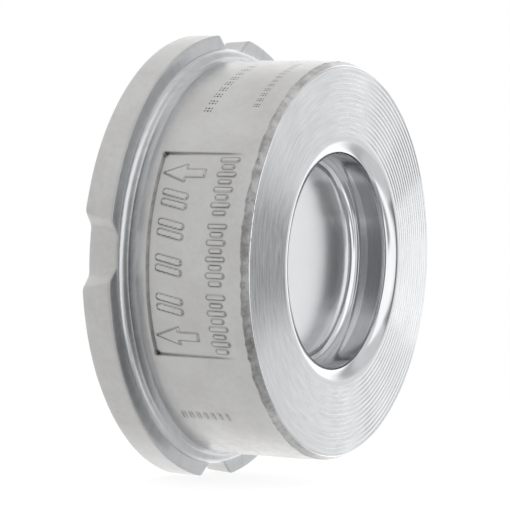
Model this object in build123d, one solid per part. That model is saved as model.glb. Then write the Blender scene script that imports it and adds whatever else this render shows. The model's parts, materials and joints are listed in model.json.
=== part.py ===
from build123d import *
import os

# Disc-type wafer check valve, nominal size 50, millimetres.
# The flow axis is X: the inlet face looks along +X and the outlet face along -X.
# The origin is on the axis, midway between the two sealing faces. +Z is up.
# The casting plate and one bolt notch are centred on -Y.

# overall casting
FACE_TO_FACE = 40.0
X_IN = FACE_TO_FACE / 2
X_OUT = -FACE_TO_FACE / 2
INLET_FACE_R = 46.5
BARREL_R = 47.7
RIM_CHAMFER_X = 18.2
RIM_CHAMFER_R = 47.5

# centring flange: four lobes between four bolt notches
LOBE_R = 53.8
FLANGE_FRONT_X = -12.5
FLANGE_EDGE = 0.4
NOTCH_FLOOR_R = 50.7
NOTCH_FLOOR_R_FRONT = 50.4
NOTCH_HALF_FLOOR_BACK = 5.7
NOTCH_HALF_LOBE_BACK = 9.0
NOTCH_HALF_FLOOR_FRONT = 3.7
NOTCH_HALF_LOBE_FRONT = 7.25
NOTCH_COUNT = 4

# round bead and crease between the flange and the barrel, as (x, radius)
BEAD = [(-12.5, 50.2), (-11.9, 49.95), (-11.3, 49.4), (-10.8, 48.7), (-10.45, 48.0)]
CREASE = [(-10.3, 47.5), (-9.7, 47.4), (-9.0, BARREL_R)]

# flow passage
PORT_R = 25.65
MOUTH_R = 28.4
MOUTH_DEPTH = 1.4
LEDGE_X = 10.9
SEAT_R = 22.65
SEAT_X = 9.6
SEAT_LAND_R = 26.6
CHAMBER_FRONT_X = 11.0
CHAMBER_R = 33.0
CHAMBER_EDGE = 0.8

# sealing-face serrations
GROOVE_PITCH = 1.15
GROOVE_WIDTH = 0.8
GROOVE_DEPTH = 0.12
INLET_GROOVES = 14
INLET_FIRST_GROOVE_R = 30.4
OUTLET_GROOVES = 13
OUTLET_FIRST_GROOVE_R = 35.4

# four integral guide ribs
RIB_R = 26.5
RIB_WIDTH = 6.0
RIB_END_X = -13.0

# closing disc
DISC_R = 26.2
DISC_THICKNESS = 4.0
DISC_BACK_X = SEAT_X - DISC_THICKNESS
DISC_BOSS_R = 7.6
DISC_BOSS_END_X = 0.6
DISC_EDGE = 0.3
DISH_DEPTH = 1.0
DISH_INNER_R = 11.0
DISH_OUTER_R = 22.5
LIFT = 9.0

# spring retainer, a four-armed cross with a central hub
RETAINER_X = RIB_END_X
RETAINER_THICKNESS = 2.0
RETAINER_ARM_WIDTH = 7.0
RETAINER_TIP_R = 32.7
RETAINER_HUB_R = 12.5
RETAINER_BOSS_R = 7.6
RETAINER_BOSS_END_X = DISC_BOSS_END_X - LIFT
RETAINER_HOLE_R = 3.5
RETAINER_EDGE = 0.4

# retaining ring in a groove of the outlet bore
RING_X = RETAINER_X - RETAINER_THICKNESS
RING_THICKNESS = 1.5
RING_INNER_R = 31.0
RING_OUTER_R = 34.1
RING_GROOVE_R = 34.3
RING_GROOVE_WIDTH = 1.7
RING_GAP_DEG = 26.0
RING_LUG_TURN_DEG = 4.2
RING_LUG_WIDTH = 4.6
RING_LUG_INNER_R = 27.6
RING_LUG_OVERLAP = 1.5
RING_LUG_HOLE_R = 1.25
RING_LUG_HOLE_DEPTH = 2.1
RING_GAP_CENTRE_DEG = 45.0

# closing spring
SPRING_R = 9.2
WIRE_R = 0.7
SPRING_TURNS = 5
SPRING_END_GAP = 0.05

# casting plate: a shallow sunk rectangle with raised flow arrows and plain bars
PLATE_X0 = -6.5
PLATE_X1 = 15.5
PLATE_HALF_DEG = 29.5
PLATE_FLOOR_R0 = 46.95
PLATE_FLOOR_R1 = 47.4
MARK_HEIGHT = 0.35
ARROW_DEG = (66.8, 113.4)
ARROW = [(-5.2, 0.0), (0.6, 2.1), (0.6, 0.9), (5.7, 0.9), (5.7, -0.9), (0.6, -0.9), (0.6, -2.1)]
WIDE_BAR_DEG = (74.6, 83.2, 93.2, 104.2)
WIDE_BAR = (-4.8, 3.0, 4.4)
SHORT_BAR_COUNT = 12
SHORT_BAR_DEG = 62.5
SHORT_BAR_STEP_DEG = 5.0
SHORT_BAR = (9.2, 13.8, 1.5)

# small raised ticks on the underside of the barrel
TICK_COUNT = 7
TICK_X = -4.8
TICK_STEP = 1.9
TICK_LENGTH = 2.2
TICK_WIDTH = 0.6
TICK_DEG = 141.5
TICK_HEIGHT = 0.25

# the marks are drawn on +Z from this height, which lies inside the wall
MARK_TOOL_Z = 45.0
MARK_TOOL_DEPTH = 5.0


def ring(points, arc=360):
    """Solid of revolution about the flow axis of a closed (x, radius) outline."""
    return revolve(make_face(Polyline(*points, close=True)), axis=Axis.X, revolution_arc=arc)


def around(shape, degrees):
    """A shape built on +Z, turned about the flow axis from +Z towards -Y."""
    return Rot(degrees, 0, 0) * shape


def serrations(face_x, depth, first_r, count):
    """Outline points of concentric V grooves across a sealing face, outwards."""
    points = []
    for i in range(count):
        r = first_r + i * GROOVE_PITCH
        points.append((face_x, r - GROOVE_WIDTH / 2))
        points.append((face_x - depth, r))
        points.append((face_x, r + GROOVE_WIDTH / 2))
    return points


def casting_blank():
    """Turned shape of the body: port, seat lip, chamber, faces, barrel and flange."""
    inlet_face = serrations(X_IN, GROOVE_DEPTH, INLET_FIRST_GROOVE_R, INLET_GROOVES)
    outlet_face = serrations(X_OUT, -GROOVE_DEPTH, OUTLET_FIRST_GROOVE_R, OUTLET_GROOVES)
    groove_end_x = RING_X - RING_GROOVE_WIDTH
    passage = [
        (X_IN, MOUTH_R),
        (X_IN - 0.25, MOUTH_R - 0.1),
        (X_IN - MOUTH_DEPTH, PORT_R),
        (LEDGE_X, PORT_R),
        (LEDGE_X, SEAT_R),
        (SEAT_X, SEAT_R),
        (SEAT_X, SEAT_LAND_R),
        (CHAMBER_FRONT_X, SEAT_LAND_R + 0.6),
        (CHAMBER_FRONT_X, CHAMBER_R),
        (RING_X, CHAMBER_R),
        (RING_X, RING_GROOVE_R),
        (groove_end_x, RING_GROOVE_R),
        (groove_end_x, CHAMBER_R),
        (X_OUT + CHAMBER_EDGE, CHAMBER_R),
        (X_OUT, CHAMBER_R + CHAMBER_EDGE),
    ]
    flange = [
        (X_OUT, LOBE_R - FLANGE_EDGE),
        (X_OUT + FLANGE_EDGE, LOBE_R),
        (FLANGE_FRONT_X - FLANGE_EDGE, LOBE_R),
        (FLANGE_FRONT_X, LOBE_R - FLANGE_EDGE),
    ]
    rim = [
        (RIM_CHAMFER_X, RIM_CHAMFER_R),
        (X_IN, INLET_FACE_R),
    ]
    return ring(passage + outlet_face + flange + BEAD + CREASE + rim + inlet_face[::-1])


def notch_section(x):
    """Trapezoid of a bolt notch at one depth of the flange, opening outwards."""
    t = (x - X_OUT) / (FLANGE_FRONT_X - X_OUT)
    floor = NOTCH_HALF_FLOOR_BACK + t * (NOTCH_HALF_FLOOR_FRONT - NOTCH_HALF_FLOOR_BACK)
    lobe = NOTCH_HALF_LOBE_BACK + t * (NOTCH_HALF_LOBE_FRONT - NOTCH_HALF_LOBE_BACK)
    slope = (lobe - floor) / (LOBE_R - NOTCH_FLOOR_R)
    reach = 2.4
    low = NOTCH_FLOOR_R - reach
    high = LOBE_R + reach
    a = floor - reach * slope
    b = lobe + reach * slope
    return make_face(Polyline((x, -a, low), (x, a, low), (x, b, high), (x, -b, high), close=True))


def bolt_notch():
    """Cutter for one notch that clears a flange bolt, with 45 degree side walls."""
    overrun = 0.5
    wedge = loft([notch_section(X_OUT - overrun), notch_section(FLANGE_FRONT_X + overrun)])
    core = ring([
        (X_OUT - 2 * overrun, 0),
        (X_OUT - 2 * overrun, NOTCH_FLOOR_R),
        (X_OUT, NOTCH_FLOOR_R),
        (FLANGE_FRONT_X, NOTCH_FLOOR_R_FRONT),
        (FLANGE_FRONT_X + 2 * overrun, NOTCH_FLOOR_R_FRONT),
        (FLANGE_FRONT_X + 2 * overrun, 0),
    ])
    return wedge - core


def guide_rib():
    """One straight rib of the chamber wall that guides the disc's edge."""
    root = 0.6
    height = CHAMBER_R + root - RIB_R
    length = CHAMBER_FRONT_X + root - RIB_END_X
    return Pos(RIB_END_X + length / 2, 0, RIB_R + height / 2) * Box(length, RIB_WIDTH, height)


def plate_recess():
    """Cutter for the sunk plate, deepest on the flange side, almost flush at the rim."""
    outline = [
        (PLATE_X0, PLATE_FLOOR_R0),
        (PLATE_X1, PLATE_FLOOR_R1),
        (PLATE_X1, BARREL_R + 2),
        (PLATE_X0, BARREL_R + 2),
    ]
    sector = ring(outline, 2 * PLATE_HALF_DEG)
    return Rot(180 - PLATE_HALF_DEG, 0, 0) * sector


def mark_tool(face):
    """A mark's outline, drawn on +Z with X along the flow axis, as a radial prism."""
    return Pos(0, 0, MARK_TOOL_Z) * extrude(face, MARK_TOOL_DEPTH)


def bar(x0, x1, width):
    """Plain bar along the flow axis with rounded ends."""
    return mark_tool(Pos((x0 + x1) / 2, 0) * SlotOverall(x1 - x0, width))


def plate_marks():
    """Raised marks of the plate: two flow arrows, four wide bars, a column of short bars."""
    arrow = mark_tool(make_face(Polyline(*ARROW, close=True)))
    tools = [around(arrow, angle) for angle in ARROW_DEG]
    tools += [around(bar(*WIDE_BAR), angle) for angle in WIDE_BAR_DEG]
    for i in range(SHORT_BAR_COUNT):
        tools.append(around(bar(*SHORT_BAR), SHORT_BAR_DEG + i * SHORT_BAR_STEP_DEG))
    layer = ring([
        (PLATE_X0, PLATE_FLOOR_R0 - 0.5),
        (PLATE_X1, PLATE_FLOOR_R1 - 0.5),
        (PLATE_X1, PLATE_FLOOR_R1 + MARK_HEIGHT),
        (PLATE_X0, PLATE_FLOOR_R0 + MARK_HEIGHT),
    ])
    return [layer & tool for tool in tools]


def cast_ticks():
    """Short raised ticks in a row along the underside of the barrel."""
    top = BARREL_R + TICK_HEIGHT
    end = TICK_X + TICK_COUNT * TICK_STEP
    layer = ring([(TICK_X - 1, BARREL_R - 1), (end, BARREL_R - 1), (end, top), (TICK_X - 1, top)])
    ticks = []
    for i in range(TICK_COUNT):
        face = Pos(TICK_X + i * TICK_STEP, 0) * SlotOverall(TICK_LENGTH, TICK_WIDTH, rotation=90)
        ticks.append(layer & around(mark_tool(face), TICK_DEG))
    return ticks


def body():
    """One-piece casting with machined port, seat and sealing faces."""
    part = casting_blank()
    notch = bolt_notch()
    for i in range(NOTCH_COUNT):
        part -= around(notch, i * 360 / NOTCH_COUNT)
        part += around(guide_rib(), 45 + i * 360 / NOTCH_COUNT)
    part -= plate_recess()
    for mark in plate_marks() + cast_ticks():
        part += mark
    return part


def valve_disc():
    """Flat closing disc with a lapped front, a dished back and a boss for the spring."""
    return ring([
        (SEAT_X, 0),
        (SEAT_X, DISC_R - DISC_EDGE),
        (SEAT_X - DISC_EDGE, DISC_R),
        (DISC_BACK_X + DISC_EDGE, DISC_R),
        (DISC_BACK_X, DISC_R - DISC_EDGE),
        (DISC_BACK_X, DISH_OUTER_R),
        (DISC_BACK_X + DISH_DEPTH, DISH_OUTER_R - DISH_DEPTH),
        (DISC_BACK_X + DISH_DEPTH, DISH_INNER_R + DISH_DEPTH),
        (DISC_BACK_X, DISH_INNER_R),
        (DISC_BACK_X, DISC_BOSS_R),
        (DISC_BOSS_END_X + DISC_EDGE, DISC_BOSS_R),
        (DISC_BOSS_END_X, DISC_BOSS_R - DISC_EDGE),
        (DISC_BOSS_END_X, 0),
    ])


def closing_spring():
    """Cylindrical coil between the retainer's hub and the back of the disc."""
    start = RETAINER_X + WIRE_R + SPRING_END_GAP
    end = DISC_BACK_X - WIRE_R - SPRING_END_GAP
    height = end - start
    path = Helix(height / SPRING_TURNS, height, SPRING_R, center=(start, 0, 0), direction=(1, 0, 0))
    wire = Plane(path @ 0, z_dir=path % 0) * Circle(WIRE_R)
    return sweep(wire, path=path, is_frenet=True)


def spring_retainer():
    """Four-armed cross that stands on the rib ends and carries the spring on a hub."""
    back = RETAINER_X - RETAINER_THICKNESS
    arm = Pos((RETAINER_X + back) / 2, 0, 0) * Box(RETAINER_THICKNESS, RETAINER_ARM_WIDTH, 2 * CHAMBER_R)
    cross = around(arm, 45) + around(arm, 135)
    cross &= ring([(back, 0), (back, RETAINER_TIP_R), (RETAINER_X, RETAINER_TIP_R), (RETAINER_X, 0)])
    hub = ring([
        (back, RETAINER_HOLE_R),
        (back, RETAINER_HUB_R),
        (RETAINER_X, RETAINER_HUB_R),
        (RETAINER_X, RETAINER_BOSS_R),
        (RETAINER_BOSS_END_X - RETAINER_EDGE, RETAINER_BOSS_R),
        (RETAINER_BOSS_END_X, RETAINER_BOSS_R - RETAINER_EDGE),
        (RETAINER_BOSS_END_X, RETAINER_HOLE_R),
    ])
    hole = ring([(back, 0), (back, RETAINER_HOLE_R), (RETAINER_X, RETAINER_HOLE_R), (RETAINER_X, 0)])
    return cross + hub - hole


def retaining_ring():
    """Sprung ring for a bore, open on one side, with an eyed lug at each end."""
    x0 = RING_X - RING_THICKNESS
    band = ring(
        [(x0, RING_INNER_R), (x0, RING_OUTER_R), (RING_X, RING_OUTER_R), (RING_X, RING_INNER_R)],
        360 - RING_GAP_DEG,
    )
    # the band starts on +Y, so its gap is centred half a gap before +Y
    part = Rot(RING_GAP_CENTRE_DEG + RING_GAP_DEG / 2, 0, 0) * band
    depth = RING_INNER_R + RING_LUG_OVERLAP - RING_LUG_INNER_R
    middle = x0 + RING_THICKNESS / 2
    lug = Pos(middle, 0, RING_LUG_INNER_R + depth / 2) * Box(RING_THICKNESS, RING_LUG_WIDTH, depth)
    eye = Cylinder(RING_LUG_HOLE_R, 2 * RING_THICKNESS)
    lug -= Pos(middle, 0, RING_LUG_INNER_R + RING_LUG_HOLE_DEPTH) * Rot(0, 90, 0) * eye
    for side in (-1, 1):
        turn = side * (RING_GAP_DEG / 2 + RING_LUG_TURN_DEG)
        part += around(lug, RING_GAP_CENTRE_DEG - 90 + turn)
    return part


os.makedirs("parts", exist_ok=True)
export_step(body(), "parts/body.step")
export_step(valve_disc(), "parts/valve_disc.step")
export_step(closing_spring(), "parts/closing_spring.step")
export_step(spring_retainer(), "parts/spring_retainer.step")
export_step(retaining_ring(), "parts/retaining_ring.step")
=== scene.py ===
import json
import math

import bmesh
import bpy
import numpy as np
from mathutils import Matrix, Vector, noise


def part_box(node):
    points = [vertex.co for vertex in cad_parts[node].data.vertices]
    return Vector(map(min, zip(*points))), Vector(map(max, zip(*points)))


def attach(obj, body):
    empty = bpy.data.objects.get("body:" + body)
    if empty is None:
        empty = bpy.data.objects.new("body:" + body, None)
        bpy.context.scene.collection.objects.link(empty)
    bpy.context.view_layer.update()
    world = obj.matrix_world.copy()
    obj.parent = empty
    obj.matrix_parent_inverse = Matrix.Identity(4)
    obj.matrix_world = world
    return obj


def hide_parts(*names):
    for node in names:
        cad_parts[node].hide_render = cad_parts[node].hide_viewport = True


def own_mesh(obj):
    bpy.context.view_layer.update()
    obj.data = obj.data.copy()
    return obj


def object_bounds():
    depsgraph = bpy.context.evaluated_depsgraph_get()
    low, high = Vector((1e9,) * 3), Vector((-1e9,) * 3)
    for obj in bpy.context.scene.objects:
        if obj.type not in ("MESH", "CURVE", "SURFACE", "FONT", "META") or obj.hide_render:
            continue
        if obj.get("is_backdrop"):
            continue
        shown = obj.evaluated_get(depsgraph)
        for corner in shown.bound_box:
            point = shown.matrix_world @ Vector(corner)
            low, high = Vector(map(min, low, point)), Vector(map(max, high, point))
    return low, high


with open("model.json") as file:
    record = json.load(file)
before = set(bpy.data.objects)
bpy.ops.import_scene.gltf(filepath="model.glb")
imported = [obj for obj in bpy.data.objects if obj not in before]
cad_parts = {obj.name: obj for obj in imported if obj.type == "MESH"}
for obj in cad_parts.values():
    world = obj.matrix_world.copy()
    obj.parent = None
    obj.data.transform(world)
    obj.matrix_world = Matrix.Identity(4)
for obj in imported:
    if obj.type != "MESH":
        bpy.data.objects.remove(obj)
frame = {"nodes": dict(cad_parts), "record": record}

# Wafer check valve, nominal size 50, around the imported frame.
# Lengths in this script are millimetres and angles round the flow axis X run from +Z
# towards -Y, unless a name says otherwise. Meshes are turned into metres when they are made.

MM = 0.001
TURN = 2 * math.pi

# ---- sizes that the frame gives ----
cad_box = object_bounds()
mounts = {mount["name"]: mount for mount in frame["record"]["mounts"]}
joint = frame["record"]["behaviour"]["joints"][0]
body_low, body_high = (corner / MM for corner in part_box("body"))
disc_low, disc_high = (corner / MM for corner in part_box("valve_disc"))

X_IN = body_high.x
X_OUT = body_low.x
LOBE_R = mounts["centring_lobes"]["dims"]["r_mm"]
PORT_R = mounts["inlet_port"]["dims"]["r_mm"]
SEAT_X = disc_high.x
DISC_R = disc_high.y
SPRING_SEAT_X = joint["deforming_nodes"][0]["fixed_end_x_m"] / MM

# ---- casting: barrel, bead, flange and bolt notches ----
BARREL_R = 47.7
BARREL_START_X = -9.0
BARREL_TAPER_X = 12.0
RIM_X = 18.2
RIM_R = 47.5
FACE_R = 46.5
RIM_RAGGED = 0.35
RIM_LUMPS = (1.6, 5.0)
RIM_WAVE = 0.12
# darker colour along the edge where the rough band starts
RIM_EDGE_DARKER = 0.1
# rounded edge before the rough band as (back, out), its drop, and its end behind the face
RIM_ROUND = (0.25, 0.03)
RIM_DROP = 0.1
RIM_BACK = 0.3
# height of the smooth random waves of the cast skin
CAST_WAVE = 0.05
# thin burr round the inlet face, as (back from the face, out from its radius)
BURR_START = (0.34, 0.14)
BURR = [(0.3, 0.17), (0.17, 0.13), (0.05, 0.03), (0.0, -0.12)]
BURR_RAGGED = 0.1
BURR_LUMPS = 0.9
# round bead, its flank and the hollow that runs out onto the barrel, as (X, radius)
BEAD_FOOT_R = 50.3
BEAD = [(-12.47, 50.42), (-12.3, 50.38), (-12.05, 50.25), (-11.82, 50.07), (-11.62, 49.85),
        (-11.46, 49.58), (-11.34, 49.25), (-11.2, 48.85), (-11.05, 48.45), (-10.95, 48.3),
        (-10.75, 48.17), (-10.45, 48.04), (-10.1, 47.93), (-9.7, 47.8), (-9.35, 47.72)]
# painted shade beside the bead, as (radius, amount); it lies darkest on the plate's side
SHADE = [(47.7, 0.36), (48.0, 0.58), (49.15, 0.6), (49.65, 0.0), (50.25, 0.0), (50.42, 0.22)]
SHADE_CENTRE = math.radians(98)
SHADE_SPREAD = math.radians(34)
SHADE_LEAST = 0.08
# painted shade on the flange's front face and in the neck, darkest on the plate's side
FLANGE_FRONT_SHADE = 0.45
NECK_SHADE = 0.34
NECK_LENGTH = 3.0
# streaks in the neck's painted shade: close together along X, and long round a small circle of noise
STREAKS_PER_MM = 1.8
STREAK_RADIUS = 4.0
STREAK_AMOUNT = 0.25
# painted shade on the rough rim band
RIM_SHADE = 0.22
FLANGE_FRONT_X = -12.5
FLANGE_ROUND = 0.45
FLANGE_EDGE = 0.12
NOTCHES = 4
# half widths of a notch and its floor's radius: at the outlet face, then at the flange's front
NOTCH_FLOOR_HALF = (5.7, 3.7)
NOTCH_LOBE_HALF = (9.0, 7.25)
NOTCH_FLOOR_R = (50.7, 50.4)
NOTCH_ROUND = 0.9
# nicks in the flange's front edge: their size, how rare they are, and their depth
NICK_SIZE = 1.9
NICK_THRESHOLD = 0.42
NICK_DEPTH = 0.7
# painted shade in the nicks and along the flange's front edge
NICK_SHADE = 1.5
FLANGE_EDGE_SHADE = 0.15

# ---- sunk plate with raised marks ----
PLATE_X = (-6.5, 15.5)
PLATE_CENTRE = math.radians(90)
PLATE_HALF = math.radians(29.5)
PLATE_CORNER = 0.8
PLATE_DEPTH = (0.75, 0.12)
PLATE_WALL = 0.35
PLATE_SOFT_WALL = 1.6
PLATE_SOFT_X = 13.2
MARK_HEIGHT = 0.38
MARK_EDGE = 0.16
# marks fade out within this distance of the plate's wall
MARK_MARGIN = 0.3
# painted shade along the foot of the wall, fading from here to the inlet end, and in its two corners
PLATE_WALL_SHADE = 0.75
WALL_SHADE_WIDTH = 0.2
WALL_SHADE_END_X = 10.0
CORNER_SHADE_INSET = 0.5
CORNER_SHADE_R = 0.55
# painted shade round the marks
MARK_SHADE = 0.6
MARK_SHADE_AT = 0.18
MARK_SHADE_WIDTH = 0.15
ARROW = [(-5.2, 0.0), (0.6, 2.1), (0.6, 0.9), (5.7, 0.9), (5.7, -0.9), (0.6, -0.9), (0.6, -2.1)]
ARROWS_DEG = (66.8, 113.4)
# plain hatch instead of lettering: four pairs of slanted bars, then three groups of fine bars
SLANTED_DEG = (74.6, 83.2, 93.2, 104.2)
SLANTED_BARS = [((-4.2, -1.9), (2.5, -0.5)), ((-4.2, 0.5), (2.5, 1.9))]
SLANTED_WIDTH = 1.25
# fine bars, each a start, an end and a width, long and short by turns
FINE_GROUPS_DEG = (62.6, 82.1, 101.6)
FINE_IN_GROUP = 8
FINE_STEP_DEG = 2.25
FINE_BARS = [(9.2, 13.8, 0.85), (10.0, 13.0, 0.85)]
# row of plain raised ticks below the plate
TICKS_X = [-4.8 + 1.9 * i for i in range(7)]
TICK_CENTRE = math.radians(141.5)
TICK_HALF_LENGTH = 1.1
TICK_HALF_WIDTH = 0.3
TICK_HEIGHT = 0.25
TICK_EDGE = 0.15
# painted shade round the ticks
TICK_SHADE = 0.3
TICK_SHADE_WIDTH = 0.2

# ---- turned faces, mouth, seat and chamber ----
TOOTH_PITCH = 1.15
TOOTH_DEPTH = 0.15
# ends of a tooth's crest, long flank and floor, as shares of the pitch
TOOTH_CREST = 0.06
TOOTH_FLANK = 0.84
TOOTH_FLOOR = 0.9
INLET_TEETH = 14
INLET_TOOTH_R = 29.8
OUTLET_TEETH = 13
OUTLET_TOOTH_R = 34.8
# rounded mouth, as (X from the inlet face, radius)
MOUTH = [(0.0, 29.2), (-0.03, 28.75), (-0.13, 28.45), (-0.28, 28.05), (-0.45, 27.6), (-0.64, 27.15),
         (-0.86, 26.7), (-1.1, 26.3), (-1.36, 25.97), (-1.7, 25.75), (-2.2, 25.66), (-2.7, 25.65)]
# rounded seat lip, from the foot of the bore inwards and back to the seat
LIP = [(11.3, 25.65), (11.17, 25.64), (11.12, 25.55), (11.12, 25.3), (11.14, 24.95), (11.12, 24.5),
       (11.06, 24.15), (10.96, 23.85), (10.8, 23.55), (10.6, 23.3), (10.4, 23.13), (10.12, 22.98),
       (9.88, 22.88), (9.7, 22.84), (9.6, 22.9)]
SEAT_MIDDLE_R = 24.5
SEAT_LAND_R = 26.6
CHAMBER_FRONT_X = 11.0
CHAMBER_R = 33.0
RIB_R = 26.5
RIB_HALF = 3.0
RIB_END_X = -13.0
# rounded root of a rib as (radians round the axis, below the wall), and its rounded edges
RIB_ROOT = [(0.004, 0.55), (0.018, 0.15), (0.04, 0.0)]
RIB_EDGE = 0.6
RIB_END_ROUND = 0.5
RIB_END_EDGE = 0.12
# steps from the seat land down to the ribs and out to the relief, and behind the ribs' ends
RIB_STEP = 0.1
SEAT_RELIEF = 0.6
CHAMBER_LEDGE = 0.05
# groove for the retaining ring: start X, end X, radius
RING_GROOVE = (-15.0, -16.7, 34.3)
OUTLET_EDGE = 0.8

# ---- moving and retaining pieces ----
SPRING_R = 9.2
WIRE_R = 0.7
SPRING_TURNS = 5.0
CLOSED_TURN = 0.75
SPRING_SAMPLES = 420
WIRE_SIDES = 14
DISC_BACK_X = disc_high.x - 4.0
DISC_BOSS_R = 7.6
DISC_ROUND = 0.35
# rings that divide the disc's flat front, the ring-shaped hollow in its back, and the small flat
# caps that close it on the axis
FRONT_RINGS = (8.0, 16.0)
DISH_IN_R = 11.0
DISH_OUT_R = 22.5
DISH_WALL = 1.2
DISH_DEPTH = 1.0
CAP_R = 0.4
# at full lift the boss stops this far from the retainer's boss, so that the two don't overlap
STOP_GAP = 0.03

# zones of the casting, in the order of its materials
CAST, RIM, TURNED, BORE, RAW, LIT_BORE = range(6)


# ---------------------------------------------------------------- geometry helpers

def smooth(t):
    """Smooth step of an array from 0 to 1."""
    t = np.clip(t, 0.0, 1.0)
    return t * t * (3 - 2 * t)


def bell(values, centre, width):
    """Smooth bump of height 1 at a centre."""
    return np.exp(-((values - centre) / width) ** 2)


def raised_share(distance, edge):
    """Share from 0 to 1 of a raised mark's height, with a slope as wide as twice its edge."""
    return smooth((edge - distance) / (2 * edge))


def even(count):
    """Angles evenly round one turn."""
    return np.linspace(0, TURN, count, endpoint=False)


def graded(spans):
    """Angles round one turn whose step changes: spans of (last degree, step in degrees)."""
    angles = []
    start = 0.0
    for end, step in spans:
        count = max(1, round((end - start) / step))
        angles.append(np.linspace(start, end, count, endpoint=False))
        start = end
    return np.radians(np.concatenate(angles))


def round_points(theta, radius):
    """Points on a circle round the flow axis, to draw random offsets from."""
    return np.stack([np.zeros(theta.shape), radius * np.sin(theta), radius * np.cos(theta)], axis=-1)


def lumps(points, size, amount):
    """Smooth random offsets of at most about amount, with features of the given size."""
    return np.array([noise.noise(Vector(p) / size) for p in points]) * amount


def box_distance(x, s, half_x, half_s, corner):
    """Signed distance to a rounded rectangle centred on the origin, negative inside."""
    dx = np.abs(x) - half_x + corner
    ds = np.abs(s) - half_s + corner
    outside = np.hypot(np.maximum(dx, 0), np.maximum(ds, 0))
    return outside + np.minimum(np.maximum(dx, ds), 0) - corner


def bar_distance(x, s, start, end, width):
    """Signed distance to a bar with rounded ends between two (x, s) points."""
    run = (end[0] - start[0], end[1] - start[1])
    length = math.hypot(*run)
    inset = width / 2 / length
    t = ((x - start[0]) * run[0] + (s - start[1]) * run[1]) / length ** 2
    t = np.clip(t, inset, 1 - inset)
    return np.hypot(x - start[0] - t * run[0], s - start[1] - t * run[1]) - width / 2


def polygon_distance(x, s, outline):
    """Signed distance to a closed outline of (x, s) corners, negative inside."""
    best = np.full(x.shape, 1e9)
    inside = np.zeros(x.shape, bool)
    for (ax, a_s), (bx, b_s) in zip(outline, outline[1:] + outline[:1]):
        ex, es = bx - ax, b_s - a_s
        t = np.clip(((x - ax) * ex + (s - a_s) * es) / (ex * ex + es * es), 0, 1)
        best = np.minimum(best, np.hypot(x - ax - t * ex, s - a_s - t * es))
        crosses = (a_s > s) != (b_s > s)
        if es:
            inside ^= crosses & (x < ax + (s - a_s) * ex / es)
    return np.where(inside, -best, best)


def zip_rings(a, b):
    """Triangles between two rings with different angles, as (ring, index) corners."""
    faces = []
    i = j = 0
    while i < len(a) or j < len(b):
        next_a = a[i + 1] if i + 1 < len(a) else a[0] + TURN + (i >= len(a)) * TURN
        next_b = b[j + 1] if j + 1 < len(b) else b[0] + TURN + (j >= len(b)) * TURN
        here = ((0, i % len(a)), (1, j % len(b)))
        if next_a <= next_b:
            faces.append((here[0], (0, (i + 1) % len(a)), here[1]))
            i += 1
        else:
            faces.append((here[0], (1, (j + 1) % len(b)), here[1]))
            j += 1
    return faces


class Skin:
    """A surface of rings round the flow axis, one after another along its section."""

    def __init__(self):
        self.rings = []

    def ring(self, x, r, theta, zone=0, grime_and_shade=0.0, wave=0.0):
        """Add one ring. Its zone is the material of the faces back to the ring before."""
        x, r, theta, grime_and_shade = np.broadcast_arrays(x, r, theta, grime_and_shade)
        if wave:
            points = np.stack([x, -r * np.sin(theta), r * np.cos(theta)], axis=-1)
            r = r + lumps(points, 7.0, wave) + lumps(points, 2.3, wave * 0.35)
        points = np.stack([x, -r * np.sin(theta), r * np.cos(theta)], axis=-1)
        self.rings.append((theta, points, zone, grime_and_shade))

    def turn(self, outline, theta, zone=0, wave=0.0):
        """Add rings through (x, radius) points."""
        for x, r in outline:
            self.ring(x, r, theta, zone, wave=wave)

    def faces(self, closed):
        """Corner indices and zone of each face."""
        starts = np.cumsum([0] + [len(ring[0]) for ring in self.rings])
        pairs = [(k, k + 1) for k in range(len(self.rings) - 1)]
        if closed:
            pairs.append((len(self.rings) - 1, 0))
        for k, m in pairs:
            a, b = self.rings[k][0], self.rings[m][0]
            if len(a) == len(b):
                for i in range(len(a)):
                    j = (i + 1) % len(a)
                    yield (starts[k] + i, starts[k] + j, starts[m] + j, starts[m] + i), self.rings[m][2]
            else:
                for face in zip_rings(a, b):
                    yield tuple(starts[(k, m)[side]] + n for side, n in face), self.rings[m][2]

    def caps(self):
        """Flat ends of an open surface that starts and stops near the axis."""
        starts = np.cumsum([0] + [len(ring[0]) for ring in self.rings])
        first = tuple(range(starts[0], starts[1]))
        last = tuple(range(starts[-2], starts[-1]))
        return [(first[::-1], self.rings[0][2]), (last, self.rings[-1][2])]

    def make(self, name, materials, closed=True, sharp=32):
        """The mesh object, in metres, smooth but for edges over the sharp angle."""
        faces = list(self.faces(closed))
        if not closed:
            faces += self.caps()
        points = np.concatenate([ring[1] for ring in self.rings]) * MM
        mesh = bpy.data.meshes.new(name)
        mesh.from_pydata(points.tolist(), [], [list(map(int, corners)) for corners, zone in faces])
        mesh.polygons.foreach_set("material_index", [zone for corners, zone in faces])
        # per-point darkening: painted shade in corners, creases and on the plate's side, with grinding
        # streaks
        grime_and_shade = mesh.attributes.new("grime_and_shade", "FLOAT", "POINT")
        grime_and_shade.data.foreach_set("value", np.concatenate([ring[3] for ring in self.rings]))
        return finish_mesh(name, mesh, materials, sharp)


def finish_mesh(name, mesh, materials, sharp):
    """Object of a mesh with its materials, outward normals and soft shading."""
    work = bmesh.new()
    work.from_mesh(mesh)
    bmesh.ops.recalc_face_normals(work, faces=work.faces)
    work.to_mesh(mesh)
    work.free()
    for material in materials:
        mesh.materials.append(material)
    mesh.shade_smooth()
    mesh.set_sharp_from_angle(angle=math.radians(sharp))
    piece = bpy.data.objects.new(name, mesh)
    bpy.context.scene.collection.objects.link(piece)
    return piece


# ---------------------------------------------------------------- shader helpers

def new_material(name):
    """A material with only its Principled shader and output."""
    material = bpy.data.materials.new(name)
    material.use_nodes = True
    return material, material.node_tree.nodes["Principled BSDF"]


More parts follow.
